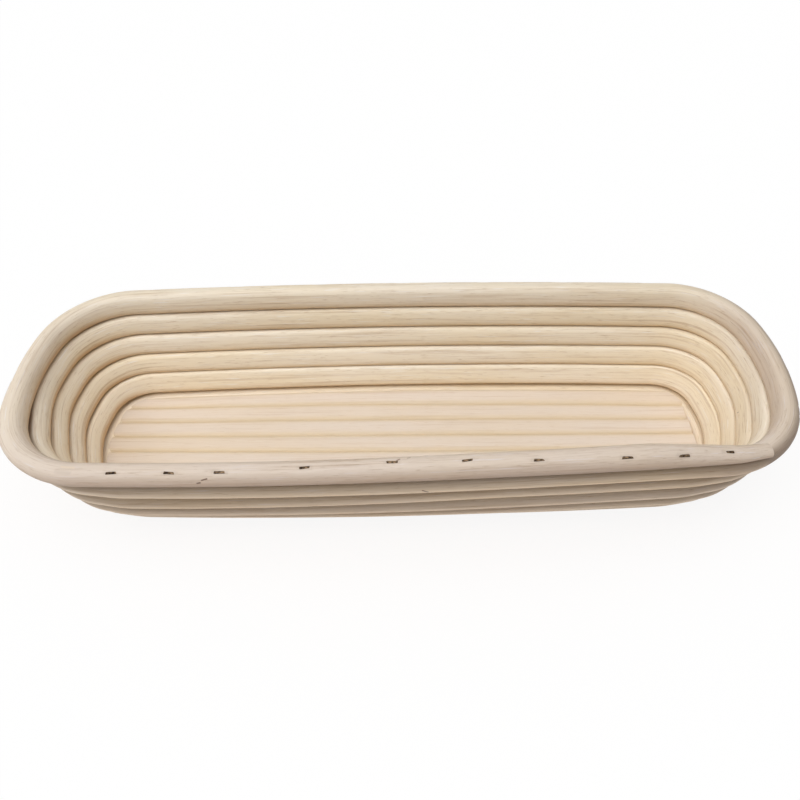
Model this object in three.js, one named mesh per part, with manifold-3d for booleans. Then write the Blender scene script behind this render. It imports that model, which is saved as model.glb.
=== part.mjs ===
// A long rattan proofing basket: one cane wound into a flared wall, a floor of straight canes, and staples.
// Millimetres, +Z up, front towards -Y. The origin is on the table, under the middle of the basket.

import * as THREE from 'three';
import { mergeVertices } from 'three/addons/utils/BufferGeometryUtils.js';
import Module from 'manifold-3d';

const wasm = await Module();
wasm.setup();

// Cane stock
const caneDiameter = 10.45;
const caneSides = 8;

// Outline of the lowest lap, along the middle of the cane: eight arcs that meet tangent to each other
const baseHalfLength = 151.5;
const baseHalfWidth = 37.5;
const longSideRadius = 2900;
const endRadius = 88;
const cornerRadius = 18.5;

// Wall: each lap lies on the one below and leans out, less so towards the rim
const wallLaps = 6;
const lapGap = 0.55;
const flareAtFloor = THREE.MathUtils.degToRad(28.2);
const flareAtRim = THREE.MathUtils.degToRad(12.4);
const wallLift = 0.45;

// Ends of the winding: a thin pared start under the first climb, and a pared tail on the rim
const startThickness = 2.0;
const tailTaperLength = 40;
const tailTipThickness = 4.0;
const tailCornerShare = 0.2;

// How finely the laps are drawn
const bendTolerance = 0.3;
const straightStep = 54;

// Floor
const floorCaneCount = 6;
const floorPlaning = 0.2;
const floorCaneSteps = 6;
const floorFlankSteps = 4;

// Staples, all of one kind
const stapleCrown = 5.0;
const stapleLeg = 16;
const stapleTip = 1.2;
const wireThickness = 0.7;
const wireWidth = 1.1;
const crownProud = 0.15;
const frontSeatAngle = THREE.MathUtils.degToRad(15);
const rearSeatAngle = THREE.MathUtils.degToRad(40);
const floorSeatAngle = THREE.MathUtils.degToRad(45);

// Where the staples sit, as shares of each run: along the front rim they are as unevenly spaced as by hand
const frontRimPlaces = [0.035, 0.095, 0.175, 0.245, 0.36, 0.48, 0.58, 0.68, 0.8, 0.875, 0.935];
const rearRimStaples = 7;
const endRimStaples = 3;
const staplesPerLap = 3;
const lapStapleShifts = [0.3, 0.8];
const rearFlankPlaces = [0.14, 0.86];
const frontFlankPlaces = [{ lap: 0, place: 0.14 }, { lap: -1, place: 0.86 }];

// Clearance between pieces that touch on the real basket
const seatGap = 0.3;

// How closely a place is searched for, and how close two points are to count as one
const searchStep = 0.01;
const weldDistance = 1e-4;

const caneRadius = caneDiameter / 2;
const lapPitch = caneDiameter + lapGap;
const rimLevel = wallLaps - 1;

// The outline's arcs, from the middle of the right front corner, anticlockwise seen from above.

const endCentreX = baseHalfLength - endRadius;
const sideCentreY = longSideRadius - baseHalfWidth;

function cornerCentre() {
  const toSide = longSideRadius - cornerRadius;
  const toEnd = endRadius - cornerRadius;
  const apart = Math.hypot(endCentreX, sideCentreY);
  const along = (toEnd ** 2 - toSide ** 2 + apart ** 2) / (2 * apart);
  const across = Math.sqrt(toEnd ** 2 - along ** 2);
  const unit = new THREE.Vector2(-endCentreX / apart, -sideCentreY / apart);
  return new THREE.Vector2(
    endCentreX + unit.x * along - unit.y * across,
    unit.y * along + unit.x * across,
  );
}

function outlineArcs() {
  const corner = cornerCentre();
  const endTurn = Math.atan2(Math.abs(corner.y), corner.x - endCentreX);
  const sideTurn = Math.atan2(corner.x, Math.abs(corner.y) + sideCentreY);
  const quarter = Math.PI / 2;
  const cornerMiddle = (endTurn + quarter - sideTurn) / 2;
  const x = corner.x;
  const y = Math.abs(corner.y);
  const arc = (name, centreX, centreY, radius, from, to) => ({ name, centreX, centreY, radius, from, to });
  return [
    arc('corner', x, -y, cornerRadius, -cornerMiddle, -endTurn),
    arc('right', endCentreX, 0, endRadius, -endTurn, endTurn),
    arc('corner', x, y, cornerRadius, endTurn, quarter - sideTurn),
    arc('rear', 0, -sideCentreY, longSideRadius, quarter - sideTurn, quarter + sideTurn),
    arc('corner', -x, y, cornerRadius, quarter + sideTurn, 2 * quarter - endTurn),
    arc('left', -endCentreX, 0, endRadius, 2 * quarter - endTurn, 2 * quarter + endTurn),
    arc('corner', -x, -y, cornerRadius, 2 * quarter + endTurn, 2 * quarter + cornerMiddle),
    arc('corner', -x, -y, cornerRadius, 2 * quarter + cornerMiddle, 3 * quarter - sideTurn),
    arc('front', 0, sideCentreY, longSideRadius, 3 * quarter - sideTurn, 3 * quarter + sideTurn),
    arc('corner', x, -y, cornerRadius, 3 * quarter + sideTurn, 4 * quarter - cornerMiddle),
  ];
}

const arcs = outlineArcs();
const climbArcs = 3;
let lapLength = 0;
for (const arc of arcs) {
  arc.start = lapLength;
  arc.length = arc.radius * (arc.to - arc.from);
  lapLength += arc.length;
}
const climbStart = arcs[arcs.length - climbArcs].start;
const tailStop = arcs[arcs.length - 1].start + arcs[arcs.length - 1].length * tailCornerShare;
const rightEnd = arcs[2].start + arcs[2].length / 2;
const rearEnd = arcs[4].start + arcs[4].length / 2;

function arcAt(distance) {
  return arcs.find((arc) => distance <= arc.start + arc.length) ?? arcs[arcs.length - 1];
}

function runOf(name) {
  return arcs.find((arc) => arc.name === name);
}

// A place on the outline moved out by an offset: the point, the outward normal and the way along.
function outlineAt(distance, offset) {
  const arc = arcAt(distance);
  const angle = arc.from + (arc.to - arc.from) * (distance - arc.start) / arc.length;
  const normal = new THREE.Vector3(Math.cos(angle), Math.sin(angle), 0);
  const point = new THREE.Vector3(arc.centreX, arc.centreY, 0).addScaledVector(normal, arc.radius + offset);
  const along = new THREE.Vector3(-normal.y, normal.x, 0);
  return { point, normal, along };
}

// The wall in section is a shallow arc: level 0 is the lowest lap, and a level is one lap higher.

function flareAt(level) {
  return flareAtFloor + (flareAtRim - flareAtFloor) * level / rimLevel;
}

function wallSection(level) {
  const bend = (flareAt(level) - flareAtFloor) / 2;
  const chord = level * lapPitch * (bend === 0 ? 1 : Math.sin(bend) / bend);
  const lean = flareAtFloor + bend;
  return { offset: chord * Math.sin(lean), height: caneRadius + wallLift + chord * Math.cos(lean) };
}

function climbAt(distance) {
  return THREE.MathUtils.smoothstep(distance, climbStart, lapLength);
}

// One ring of the winding: lap number, distance along that lap, and how much of the cane's height is left.
function caneRing(lap, distance, heightLeft = 1) {
  const level = lap + climbAt(distance);
  const bottom = Math.max(level - 0.5, -0.5);
  const top = bottom + (level + 0.5 - bottom) * heightLeft;
  const middle = (bottom + top) / 2;
  const section = wallSection(middle);
  const place = outlineAt(distance, section.offset);
  const flare = flareAt(middle);
  const vertical = new THREE.Vector3(0, 0, 1);
  const up = place.normal.clone().multiplyScalar(Math.sin(flare)).addScaledVector(vertical, Math.cos(flare));
  const out = up.clone().cross(place.along).negate();
  const centre = place.point.clone().addScaledVector(vertical, section.height);
  const halfHeight = ((top - bottom) * lapPitch - lapGap) / 2;
  const halfWidth = caneRadius * Math.sqrt(Math.min(1, halfHeight / caneRadius));
  return { lap, distance, centre, up, out, along: place.along, halfHeight, halfWidth };
}

// The same ring moved straight on, for an end that runs out straight.
function movedRing(ring, travel) {
  return { ...ring, centre: ring.centre.clone().addScaledVector(ring.along, travel) };
}

function ringPoints(ring) {
  const points = [];
  const spread = 1 / Math.cos(Math.PI / caneSides);
  for (let side = 0; side < caneSides; side += 1) {
    const turn = (side + 0.5) * 2 * Math.PI / caneSides;
    points.push(
      ring.centre.clone()
        .addScaledVector(ring.out, ring.halfWidth * spread * Math.sin(turn))
        .addScaledVector(ring.up, ring.halfHeight * spread * Math.cos(turn)),
    );
  }
  return points;
}

// Distances along one lap where rings stand: close on the bends, far apart on the long sides.
function lapDistances() {
  const distances = [];
  for (const arc of arcs) {
    const bendStep = 2 * Math.acos(1 - bendTolerance / arc.radius);
    const steps = Math.max(Math.ceil((arc.to - arc.from) / bendStep), Math.ceil(arc.length / straightStep));
    for (let step = 0; step < steps; step += 1) {
      distances.push(arc.start + arc.length * step / steps);
    }
  }
  return distances;
}

// How much of the cane's height is left at a place on the rim lap: all of it, up to the tail's taper.
function heightLeftAt(distance) {
  const tipShare = tailTipThickness / caneDiameter;
  const pared = (distance - tailStop + tailTaperLength) / (tailTaperLength + caneDiameter);
  return THREE.MathUtils.lerp(1, tipShare, THREE.MathUtils.clamp(pared, 0, 1));
}

// Distance along the first climb where the start has its thickness.
function startDistance() {
  const share = (startThickness + lapGap) / lapPitch;
  let low = climbStart;
  let high = lapLength;
  while (high - low > searchStep) {
    const middle = (low + high) / 2;
    if (climbAt(middle) < share) low = middle;
    else high = middle;
  }
  return high;
}

function windingRings() {
  const distances = lapDistances();
  const start = startDistance();
  const first = caneRing(-1, start);
  const rings = [movedRing(first, -caneDiameter), first];
  for (const distance of distances) {
    if (distance > start + caneDiameter) rings.push(caneRing(-1, distance));
  }
  for (let lap = 0; lap < rimLevel; lap += 1) {
    for (const distance of distances) rings.push(caneRing(lap, distance));
  }
  const rimDistances = distances.filter((distance) => distance < tailStop);
  rimDistances.push(tailStop - tailTaperLength, tailStop);
  rimDistances.sort((one, other) => one - other);
  for (const distance of rimDistances) rings.push(caneRing(rimLevel, distance, heightLeftAt(distance)));
  const tip = caneRing(rimLevel, tailStop, tailTipThickness / caneDiameter);
  rings.push(movedRing(tip, caneDiameter));
  return rings;
}

// A closed tube through rings of points.
function tubeGeometry(ringsOfPoints) {
  const sides = ringsOfPoints[0].length;
  const positions = ringsOfPoints.flat().flatMap((point) => point.toArray());
  const indices = [];
  for (let ring = 0; ring + 1 < ringsOfPoints.length; ring += 1) {
    for (let side = 0; side < sides; side += 1) {
      const here = ring * sides + side;
      const beside = ring * sides + (side + 1) % sides;
      indices.push(here, beside, here + sides, beside, beside + sides, here + sides);
    }
  }
  const last = (ringsOfPoints.length - 1) * sides;
  for (let side = 1; side + 1 < sides; side += 1) {
    indices.push(0, side + 1, side);
    indices.push(last, last + side, last + side + 1);
  }
  const geometry = new THREE.BufferGeometry();
  geometry.setAttribute('position', new THREE.Float32BufferAttribute(positions, 3));
  geometry.setIndex(indices);
  return geometry;
}

// The least gap between two laps of the winding, on the points of its rings.
function leastGap(rings, ringsOfPoints) {
  let least = Infinity;
  for (let one = 0; one < rings.length; one += 1) {
    for (let other = one + 1; other < rings.length; other += 1) {
      const travelled = rings[other].lap * lapLength + rings[other].distance
        - rings[one].lap * lapLength - rings[one].distance;
      if (travelled < lapLength / 2) continue;
      if (rings[one].centre.distanceTo(rings[other].centre) > 2 * lapPitch) continue;
      for (const a of ringsOfPoints[one]) {
        for (const b of ringsOfPoints[other]) least = Math.min(least, a.distanceTo(b));
      }
    }
  }
  return least;
}

// Floor canes: they fill the space inside the lowest lap, pressed a little closer towards their ends.

const inset = caneRadius + bendTolerance + seatGap;
const corner = cornerCentre();
const floorKnee = corner.x;

function floorHalfWidth(x) {
  const reach = Math.min(Math.abs(x), floorKnee);
  return Math.sqrt((longSideRadius - inset) ** 2 - reach ** 2) - sideCentreY;
}

function floorReach(y) {
  const side = Math.abs(y);
  const cornerSide = side - Math.abs(corner.y);
  const onEnd = endCentreX + Math.sqrt((endRadius - inset) ** 2 - side ** 2);
  if (cornerSide <= 0) return onEnd;
  const room = Math.max(0, (cornerRadius - inset) ** 2 - cornerSide ** 2);
  return Math.min(onEnd, corner.x + Math.sqrt(room));
}

// A floor cane's middle, as a share of the floor's half width.
function caneShare(index) {
  return (2 * index + 1) / floorCaneCount - 1;
}

// How far a cane's end reaches at y: the outermost canes are cut to the corner, the others square.
function caneReach(index, y) {
  const isOutermost = index === 0 || index === floorCaneCount - 1;
  const squareAt = (Math.abs(caneShare(index)) + 1 / floorCaneCount) * floorHalfWidth(floorKnee);
  return floorReach(isOutermost ? y : squareAt);
}

// A cane's section across: round flanks between the planed faces, with a middle point on each face.
function floorSection() {
  const clip = Math.asin(1 - floorPlaning / caneRadius);
  const flank = (side) => Array.from({ length: floorFlankSteps + 1 }, (_, step) => {
    const turn = side * THREE.MathUtils.lerp(-clip, clip, step / floorFlankSteps);
    return { across: side * Math.cos(turn), upward: Math.sin(turn) };
  });
  const face = (side) => ({ across: 0, upward: side * Math.sin(clip) });
  return [...flank(1), face(1), ...flank(-1), face(-1)];
}

function floorCane(index) {
  const share = caneShare(index);
  const halfHeight = caneRadius - floorPlaning;
  const middleReach = caneReach(index, share * floorHalfWidth(floorKnee));
  const ringsOfPoints = [];
  for (let step = 0; step <= floorCaneSteps; step += 1) {
    const part = 2 * step / floorCaneSteps - 1;
    const room = floorHalfWidth(part * middleReach);
    const halfWidth = room / floorCaneCount - seatGap / 2;
    ringsOfPoints.push(floorSection().map(({ across, upward }) => {
      const y = share * room + halfWidth * across;
      return new THREE.Vector3(part * caneReach(index, y), y, halfHeight + caneRadius * upward);
    }));
  }
  return tubeGeometry(ringsOfPoints);
}

// Staples: a bent wire with a flat crown and two legs, and the slightly larger space it is driven into.

function stapleGeometry(clearance) {
  const half = stapleCrown / 2 + clearance;
  const inner = stapleCrown / 2 - wireThickness - clearance;
  const top = crownProud + clearance;
  const under = crownProud - wireThickness - clearance;
  const foot = crownProud - stapleLeg - clearance;
  const shape = new THREE.Shape();
  shape.moveTo(-half, top);
  shape.lineTo(-half, foot);
  shape.lineTo(-inner, foot + stapleTip);
  shape.lineTo(-inner, under);
  shape.lineTo(inner, under);
  shape.lineTo(inner, foot + stapleTip);
  shape.lineTo(half, foot);
  shape.lineTo(half, top);
  shape.closePath();
  const depth = wireWidth + 2 * clearance;
  const geometry = new THREE.ExtrudeGeometry(shape, { depth, bevelEnabled: false });
  geometry.translate(0, 0, -depth / 2);
  return geometry;
}

// A staple's place: its crown lies along the cane at a seat, and its legs point at a target.
function staplePlace(name, seat, along, target) {
  const back = seat.clone().sub(target).normalize();
  const side = along.clone().cross(back).normalize();
  const crown = back.clone().cross(side).normalize();
  return { name, matrix: new THREE.Matrix4().makeBasis(crown, back, side).setPosition(seat) };
}

function wallStaple(name, lap, distance, seatAngle) {
  const ring = caneRing(lap, distance, lap === rimLevel ? heightLeftAt(distance) : 1);
  const below = caneRing(lap - 1, distance);
  const seat = ring.centre.clone()
    .addScaledVector(ring.up, ring.halfHeight * Math.cos(seatAngle))
    .addScaledVector(ring.out, ring.halfWidth * Math.sin(seatAngle));
  return staplePlace(name, seat, ring.along, below.centre);
}

function floorStaple(name, lap, distance) {
  const ring = caneRing(lap, distance);
  const outward = outlineAt(distance, 0).normal;
  const depth = ring.centre.clone();
  depth.z -= ring.halfHeight * Math.sin(floorSeatAngle);
  const seat = depth.clone().addScaledVector(outward, ring.halfWidth * Math.cos(floorSeatAngle));
  return staplePlace(name, seat, ring.along, depth);
}

function numbered(name, number) {
  return `${name}_${String(number).padStart(2, '0')}`;
}

function rimStaples() {
  const places = [];
  const add = (distance, seatAngle) => {
    places.push(wallStaple(numbered('rim_staple', places.length + 1), rimLevel, distance, seatAngle));
  };
  const spread = (from, to, count) => {
    for (let index = 0; index < count; index += 1) {
      add(THREE.MathUtils.lerp(from, to, (index + 0.5) / count), rearSeatAngle);
    }
  };
  spread(0, rightEnd, endRimStaples);
  spread(rightEnd, rearEnd, rearRimStaples);
  spread(rearEnd, climbStart, endRimStaples);
  for (const place of frontRimPlaces) {
    add(THREE.MathUtils.lerp(climbStart, lapLength, place), frontSeatAngle);
  }
  return places;
}

function lapStaples() {
  const places = [];
  for (let lap = 1; lap < rimLevel; lap += 1) {
    const shift = lapStapleShifts[lap % lapStapleShifts.length];
    for (let index = 0; index < staplesPerLap; index += 1) {
      const distance = lapLength * (index + shift) / staplesPerLap % lapLength;
      places.push(wallStaple(`lap_staple_${lap}_${index + 1}`, lap, distance, 0));
    }
  }
  return places;
}

// Distance along an end of the lowest lap where a staple's legs run into the middle of a floor cane's end.
function distanceFacing(y, from, to) {
  const aimDepth = (stapleLeg - caneRadius * Math.cos(floorSeatAngle) + inset) / 2;
  const facedAt = (distance) => {
    const place = outlineAt(distance, 0);
    return place.point.y - place.normal.y * aimDepth;
  };
  const rising = facedAt(to) > facedAt(from);
  let low = rising ? from : to;
  let high = rising ? to : from;
  while (Math.abs(high - low) > searchStep) {
    const middle = (low + high) / 2;
    if (facedAt(middle) < y) low = middle;
    else high = middle;
  }
  return high;
}

function floorStaples() {
  const places = [];
  const add = (lap, distance) => {
    places.push(floorStaple(numbered('floor_staple', places.length + 1), lap, distance));
  };
  for (const [from, to] of [[0, rightEnd], [rearEnd, climbStart]]) {
    for (let index = 1; index + 1 < floorCaneCount; index += 1) {
      add(0, distanceFacing(caneShare(index) * floorHalfWidth(floorKnee), from, to));
    }
  }
  const rear = runOf('rear');
  for (const place of rearFlankPlaces) add(0, rear.start + rear.length * place);
  const front = runOf('front');
  for (const { lap, place } of frontFlankPlaces) add(lap, front.start + front.length * place);
  return places;
}

// Solids for cutting.

function toSolid(geometry) {
  const bare = geometry.clone();
  bare.deleteAttribute('normal');
  bare.deleteAttribute('uv');
  const merged = mergeVertices(bare, weldDistance);
  return new wasm.Manifold(new wasm.Mesh({
    numProp: 3,
    vertProperties: merged.attributes.position.array,
    triVerts: new Uint32Array(merged.index.array),
  }));
}

function toGeometry(solid) {
  const mesh = solid.getMesh();
  const geometry = new THREE.BufferGeometry();
  geometry.setAttribute('position', new THREE.Float32BufferAttribute(mesh.vertProperties, 3));
  geometry.setIndex([...mesh.triVerts]);
  geometry.computeVertexNormals();
  return geometry;
}

function cutForStaples(geometry, places) {
  const space = stapleGeometry(seatGap);
  let solid = toSolid(geometry);
  for (const place of places) {
    solid = solid.subtract(toSolid(space.clone().applyMatrix4(place.matrix)));
  }
  return toGeometry(solid);
}

// The basket

const rimCane = new THREE.MeshStandardMaterial({ color: 0xdccab4, roughness: 0.62, metalness: 0 });
const floorStock = new THREE.MeshStandardMaterial({ color: 0xe2cfac, roughness: 0.66, metalness: 0 });
const stapleWire = new THREE.MeshStandardMaterial({ color: 0x6b5338, roughness: 0.45, metalness: 0.9 });

const wallPlaces = [...rimStaples(), ...lapStaples()];
const floorPlaces = floorStaples();
const allPlaces = [...wallPlaces, ...floorPlaces];

const rings = windingRings();
const ringsOfPoints = rings.map(ringPoints);
console.log(`least gap between laps: ${leastGap(rings, ringsOfPoints).toFixed(3)} mm`);

const basket = new THREE.Group();

function addPiece(name, geometry, material) {
  const mesh = new THREE.Mesh(geometry, material);
  mesh.name = name;
  basket.add(mesh);
  return mesh;
}

addPiece('wall_winding', cutForStaples(tubeGeometry(ringsOfPoints), allPlaces), rimCane);

for (let index = 0; index < floorCaneCount; index += 1) {
  addPiece(`floor_cane_${index + 1}`, cutForStaples(floorCane(index), floorPlaces), floorStock);
}

for (const place of allPlaces) {
  const staple = addPiece(place.name, stapleGeometry(0), stapleWire);
  staple.applyMatrix4(place.matrix);
}

// The climb makes the front reach out further than the rear, so the basket is centred over the origin.
const span = new THREE.Box3().setFromObject(basket);
basket.position.y = -(span.min.y + span.max.y) / 2;

export default basket;
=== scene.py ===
import math

import bpy
import numpy as np
from mathutils import Matrix, Vector


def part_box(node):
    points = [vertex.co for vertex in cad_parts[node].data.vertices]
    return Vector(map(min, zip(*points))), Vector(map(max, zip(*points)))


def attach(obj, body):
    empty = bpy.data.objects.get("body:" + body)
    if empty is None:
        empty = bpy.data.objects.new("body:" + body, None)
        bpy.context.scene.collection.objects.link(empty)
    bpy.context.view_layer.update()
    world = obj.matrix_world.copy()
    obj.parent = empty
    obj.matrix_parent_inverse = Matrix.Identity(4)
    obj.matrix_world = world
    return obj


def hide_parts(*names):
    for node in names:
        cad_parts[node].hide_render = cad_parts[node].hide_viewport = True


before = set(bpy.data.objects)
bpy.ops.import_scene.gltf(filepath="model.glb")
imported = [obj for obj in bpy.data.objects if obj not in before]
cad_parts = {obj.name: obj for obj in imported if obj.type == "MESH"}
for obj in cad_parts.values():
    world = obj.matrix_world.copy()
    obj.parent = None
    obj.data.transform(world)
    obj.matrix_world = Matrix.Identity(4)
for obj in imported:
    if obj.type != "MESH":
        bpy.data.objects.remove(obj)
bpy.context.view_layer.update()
scene = bpy.context.scene
scene.view_settings.view_transform = "Standard"
mm = 0.001
print("frame loaded:", len(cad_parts), "nodes")


# small helpers for node trees

def feed(tree, socket, value):
    if isinstance(value, bpy.types.NodeSocket):
        tree.links.new(value, socket)
    elif value is not None:
        socket.default_value = value


def feedAll(tree, node, fed):  # fed holds values or links by an input's name or number
    for name, value in fed.items():
        feed(tree, node.inputs[name], value)
    return node


def addNode(tree, kind, fed=None, **settings):
    node = tree.nodes.new(kind)
    for name, value in settings.items():
        setattr(node, name, value)
    return feedAll(tree, node, fed or {})


def firstOf(tree, kind, fed=None, **settings):  # the first output of a new node
    return addNode(tree, kind, fed, **settings).outputs[0]


def mathOf(tree, operation, *values):
    return firstOf(tree, "ShaderNodeMath", dict(enumerate(values)), operation=operation)


def plus(tree, first, second):
    return mathOf(tree, "ADD", first, second)


def minus(tree, first, second):
    return mathOf(tree, "SUBTRACT", first, second)


def times(tree, product, *factors):
    for factor in factors:
        product = mathOf(tree, "MULTIPLY", product, factor)
    return product


def largest(tree, found, *others):
    for other in others:
        found = mathOf(tree, "MAXIMUM", found, other)
    return found


def vectorOf(tree, operation, *values):
    node = addNode(tree, "ShaderNodeVectorMath", dict(enumerate(values)), operation=operation)
    return node.outputs["Value" if operation in ("LENGTH", "DOT_PRODUCT") else "Vector"]


def scaled(tree, vector, factor):
    return firstOf(tree, "ShaderNodeVectorMath", {0: vector, "Scale": factor}, operation="SCALE")


def parted(tree, vector):  # the three numbers of a vector
    return addNode(tree, "ShaderNodeSeparateXYZ", {0: vector}).outputs


def joined(tree, *parts):  # a vector from up to three numbers
    return firstOf(tree, "ShaderNodeCombineXYZ", dict(enumerate(parts)))


def ramp(tree, value, low, high, toLow=0.0, toHigh=1.0):
    fed = {"Value": value, "From Min": low, "From Max": high, "To Min": toLow, "To Max": toHigh}
    return firstOf(tree, "ShaderNodeMapRange", fed, interpolation_type="SMOOTHSTEP")


def noiseOf(tree, vector, detail=2.0, roughness=0.5, scale=1.0):
    fed = {"Vector": vector, "Scale": scale, "Detail": detail, "Roughness": roughness}
    return firstOf(tree, "ShaderNodeTexNoise", fed)


def blendColour(tree, factor, first, second, mode="MIX"):
    fed = {0: factor, 6: first, 7: second}  # a mix node's colours come after its numbers and vectors
    return addNode(tree, "ShaderNodeMix", fed, data_type="RGBA", blend_type=mode).outputs[2]


def fromBytes(*channels):  # a display colour as the linear one that sockets take
    shares = [channel / 255 for channel in channels]
    return (*(s / 12.92 if s <= 0.04045 else ((s + 0.055) / 1.055) ** 2.4 for s in shares), 1.0)


def newTree(name, kind, inputs, outputs):  # inputs and outputs give each socket's kind by its label
    tree = bpy.data.node_groups.new(name, kind)
    for way, sockets in (("INPUT", inputs), ("OUTPUT", outputs)):
        for label, socketKind in sockets.items():
            tree.interface.new_socket(label, in_out=way, socket_type="NodeSocket" + socketKind)
    return tree, tree.nodes.new("NodeGroupInput").outputs, tree.nodes.new("NodeGroupOutput").inputs


def alike(kind, *labels):
    return dict.fromkeys(labels, kind)


def keyOf(label):  # a socket's label as a key of the dictionaries here
    return label[0].lower() + label[1:].replace(" ", "")


def named(tree, name, kind="FLOAT"):  # a stored attribute, read in Geometry Nodes
    return firstOf(tree, "GeometryNodeInputNamedAttribute", {"Name": name}, data_type=kind)


def store(tree, geometry, name, value, kind="FLOAT", domain="POINT"):
    fed = {"Geometry": geometry, "Name": name, "Value": value}
    return firstOf(tree, "GeometryNodeStoreNamedAttribute", fed, data_type=kind, domain=domain)


def finished(tree, geometry, material, isSmooth):
    geometry = firstOf(tree, "GeometryNodeRealizeInstances", {"Geometry": geometry})
    fed = {"Geometry": geometry, "Shade Smooth": isSmooth}
    geometry = firstOf(tree, "GeometryNodeSetShadeSmooth", fed, domain="FACE")
    return firstOf(tree, "GeometryNodeSetMaterial", {"Geometry": geometry, "Material": material})


def swept(tree, curve, profile):
    fed = {"Curve": curve, "Profile Curve": profile, "Fill Caps": True}
    return firstOf(tree, "GeometryNodeCurveToMesh", fed)


def addObject(name, data):
    obj = bpy.data.objects.new(name, data)
    scene.collection.objects.link(obj)
    return obj


def runTree(obj, tree, values):  # the modifier's result becomes the object's plain mesh
    modifier = obj.modifiers.new(tree.name, "NODES")
    modifier.node_group = tree
    for item in tree.interface.items_tree:
        if item.item_type == "SOCKET" and item.in_out == "INPUT" and item.name in values:
            modifier[item.identifier] = values[item.name]
    graph = bpy.context.evaluated_depsgraph_get()
    shown = obj.evaluated_get(graph)
    made = bpy.data.meshes.new_from_object(shown, preserve_all_data_layers=True, depsgraph=graph)
    obj.modifiers.remove(modifier)
    old = obj.data
    obj.data = made
    made.name = obj.name
    bpy.data.meshes.remove(old)
    return obj


# what a path carries to the sweep: the cane's form, and shares of marks and painted shade for its finish
formFields = ("middle", "out", "up", "run", "wide", "high", "insidePower", "planedTop")
markFields = ("coverTop", "coverLow", "lineShare", "tanShare", "outsideShade", "rimEdge", "rimUnder",
              "rimShade", "baseWarm")


def pathObject(name, rings):  # a line through the rings' middles
    mesh = bpy.data.meshes.new(name)
    mesh.from_pydata([ring["middle"] for ring in rings], [(i, i + 1) for i in range(len(rings) - 1)], [])
    for key in formFields + markFields:
        values = np.array([ring[key] for ring in rings], dtype=np.float32)
        kind, field = ("FLOAT_VECTOR", "vector") if values.ndim > 1 else ("FLOAT", "value")
        mesh.attributes.new(key, kind, "POINT").data.foreach_set(field, values.ravel())
    return addObject(name, mesh)


# the winding's route: offsets of an oblong of ten arcs, climbing one lap along the front on each turn

winding = {
    "halfLength": 151.5, "halfWidth": 37.5,  # middle of the lowest lap
    "sideRadius": 2900.0, "endRadius": 88.0, "cornerRadius": 18.5,
    "laps": 6, "pitch": 11.0, "floorHeight": 5.675,  # height of the lowest lap's middle
    "flareAtFloor": 28.2, "flareAtRim": 12.4,  # degrees from upright
    "halfHigh": 5.58, "halfWide": 5.2,  # a little over half the pitch, so that laps press together
    # powers under one make the section squarer than an oval
    "cornerPower": 0.84, "powerPerLap": 0.05, "baseSquare": 0.15,
    "insidePower": {"right": 0.42, "rear": 0.58, "left": 0.84, "front": 0.84},
    "startThickness": 2.0, "startSteps": 400, "endBevel": 0.35,
    "tailTaper": 40.0, "tailTip": 4.0, "tailRun": 10.45, "tailRings": 12, "tailCornerShare": 0.2,
    "planedTop": 10.3, "baseWarm": 0.33,  # the lowest lap is planed flush with the floor, and given a warm painted shade
    # the rim is fuller outside at the left front corner
    "rimFuller": 1.8, "fullBefore": 5.0, "fullReach": 24.0,
    # the front wall bulges low down over its base
    "frontBulge": 2.2, "bulgeLevel": 2.1, "bulgeReach": 1.6, "baseBack": 0.7,
    # the laps under the rim are drawn in at the front corners, the middle ones most
    "frontTuck": 4.9, "tuckReach": 32.0, "tuckShift": 6.0, "baseTuck": 0.4, "tuckPerLap": 0.25,
    "endPush": {"right": 3.0, "left": 1.3},  # the ends stand steeper than the sides
    # the rim is thinner at the front and the ends
    "slimFade": 24.0, "frontSlim": 0.5, "endSlim": {"right": 0.7, "left": 0.6},
    "coverFrom": 0.7,  # from this level on a cane lies on another
    # dark joint lines, partly dust and partly painted crease shade, and painted tan shade on the lower inside
    # flanks, by side
    "lineShare": {"right": 0.05, "rear": 0.3, "left": 1.25, "front": 0.8}, "lineAtFloor": 0.4,
    "tanShare": {"right": 0.5, "rear": 0.6, "left": 1.5, "front": 0.6},
    "rimFade": 40.0,  # over this run the rim's painted shade sets in, its strength set by side
    "rimTone": {"right": 0.9, "rear": 0.15, "left": 0.5, "front": 1.0},
    "rightEdge": 1.0, "frontUnder": 0.6,  # painted shade: the rim is darker outside at the right end, below at the front
    "lowDull": 0.85, "dullPerLap": 0.06,  # painted shade on the overhung outsides, stronger towards the rim
    "rimStep": 1.05, "lapStep": 2.2, "sides": 28, "tableGap": 0.05,
    "lumpHeight": 0.16, "lumpLength": 38.0, "swayHeight": 0.22, "swayLength": 95.0,
    "pressDepth": 0.16, "pressReach": 2.0, "seed": 7, "tone": 0.5, "flankTan": 0.0,
}
shiftY = (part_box("floor_cane_1")[0].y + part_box("floor_cane_6")[1].y) / 2  # the frame is centred on the box
rimLevel = winding["laps"] - 1
unplaned = 1.0  # metres, a height that no cane reaches
endX = winding["halfLength"] - winding["endRadius"]
sideY = winding["sideRadius"] - winding["halfWidth"]


def cornerMiddle():
    toSide = winding["sideRadius"] - winding["cornerRadius"]
    toEnd = winding["endRadius"] - winding["cornerRadius"]
    apart = math.hypot(endX, sideY)
    along = (toEnd ** 2 - toSide ** 2 + apart ** 2) / (2 * apart)
    across = math.sqrt(toEnd ** 2 - along ** 2)
    unit = (-endX / apart, -sideY / apart)
    return endX + unit[0] * along - unit[1] * across, abs(unit[1] * along + unit[0] * across)


cornerX, cornerY = cornerMiddle()


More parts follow.
